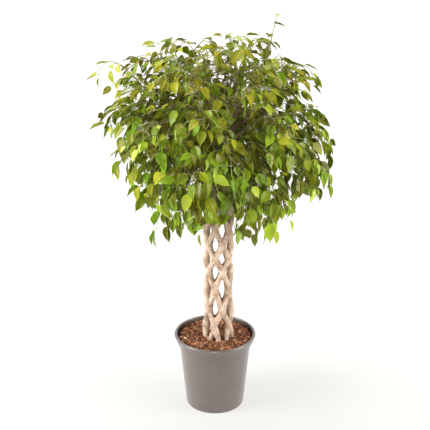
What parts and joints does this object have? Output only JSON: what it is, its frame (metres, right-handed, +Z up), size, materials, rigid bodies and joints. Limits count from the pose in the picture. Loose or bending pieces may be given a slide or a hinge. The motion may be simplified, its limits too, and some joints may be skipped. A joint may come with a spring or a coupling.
{
  "type": "potted weeping fig",
  "caption": "Weeping fig with a see-through lattice trunk of grafted stems and a round drooping crown, in a tapered plastic nursery pot.",
  "frame": {"origin": "centre of the pot's flat underside, on the surface it stands on", "axes": "+Z up along the pot's axis, the front of the plant faces -Y, +X to the right seen from the front"},
  "size_m": [0.8913, 0.8141, 1.5343],
  "materials": {
    "pot_plastic": "satin warm-grey moulded plastic",
    "bark_chips": "rough damp bark and coconut chips",
    "bark": "pale beige bark with a fine grain",
    "leaf_green": "glossy green leaves on thin green-brown twigs"
  },
  "bodies": {
    "root": {"pot": "pot_plastic", "soil": "bark_chips", "trunk": "bark", "spray_01": "leaf_green", "spray_02": "leaf_green", "spray_03": "leaf_green", "spray_04": "leaf_green", "spray_05": "leaf_green", "spray_06": "leaf_green", "spray_07": "leaf_green", "spray_08": "leaf_green", "spray_09": "leaf_green", "spray_10": "leaf_green", "spray_11": "leaf_green", "spray_12": "leaf_green", "spray_13": "leaf_green", "spray_14": "leaf_green", "spray_15": "leaf_green", "spray_16": "leaf_green", "spray_17": "leaf_green", "spray_18": "leaf_green", "spray_19": "leaf_green", "spray_20": "leaf_green", "spray_21": "leaf_green", "spray_22": "leaf_green", "spray_23": "leaf_green", "spray_24": "leaf_green", "spray_25": "leaf_green", "spray_26": "leaf_green", "spray_27": "leaf_green", "spray_28": "leaf_green", "spray_29": "leaf_green", "spray_30": "leaf_green", "spray_31": "leaf_green", "spray_32": "leaf_green", "spray_33": "leaf_green", "spray_34": "leaf_green", "spray_35": "leaf_green", "spray_36": "leaf_green", "top_shoot": "leaf_green"}
  },
  "joints": []
}
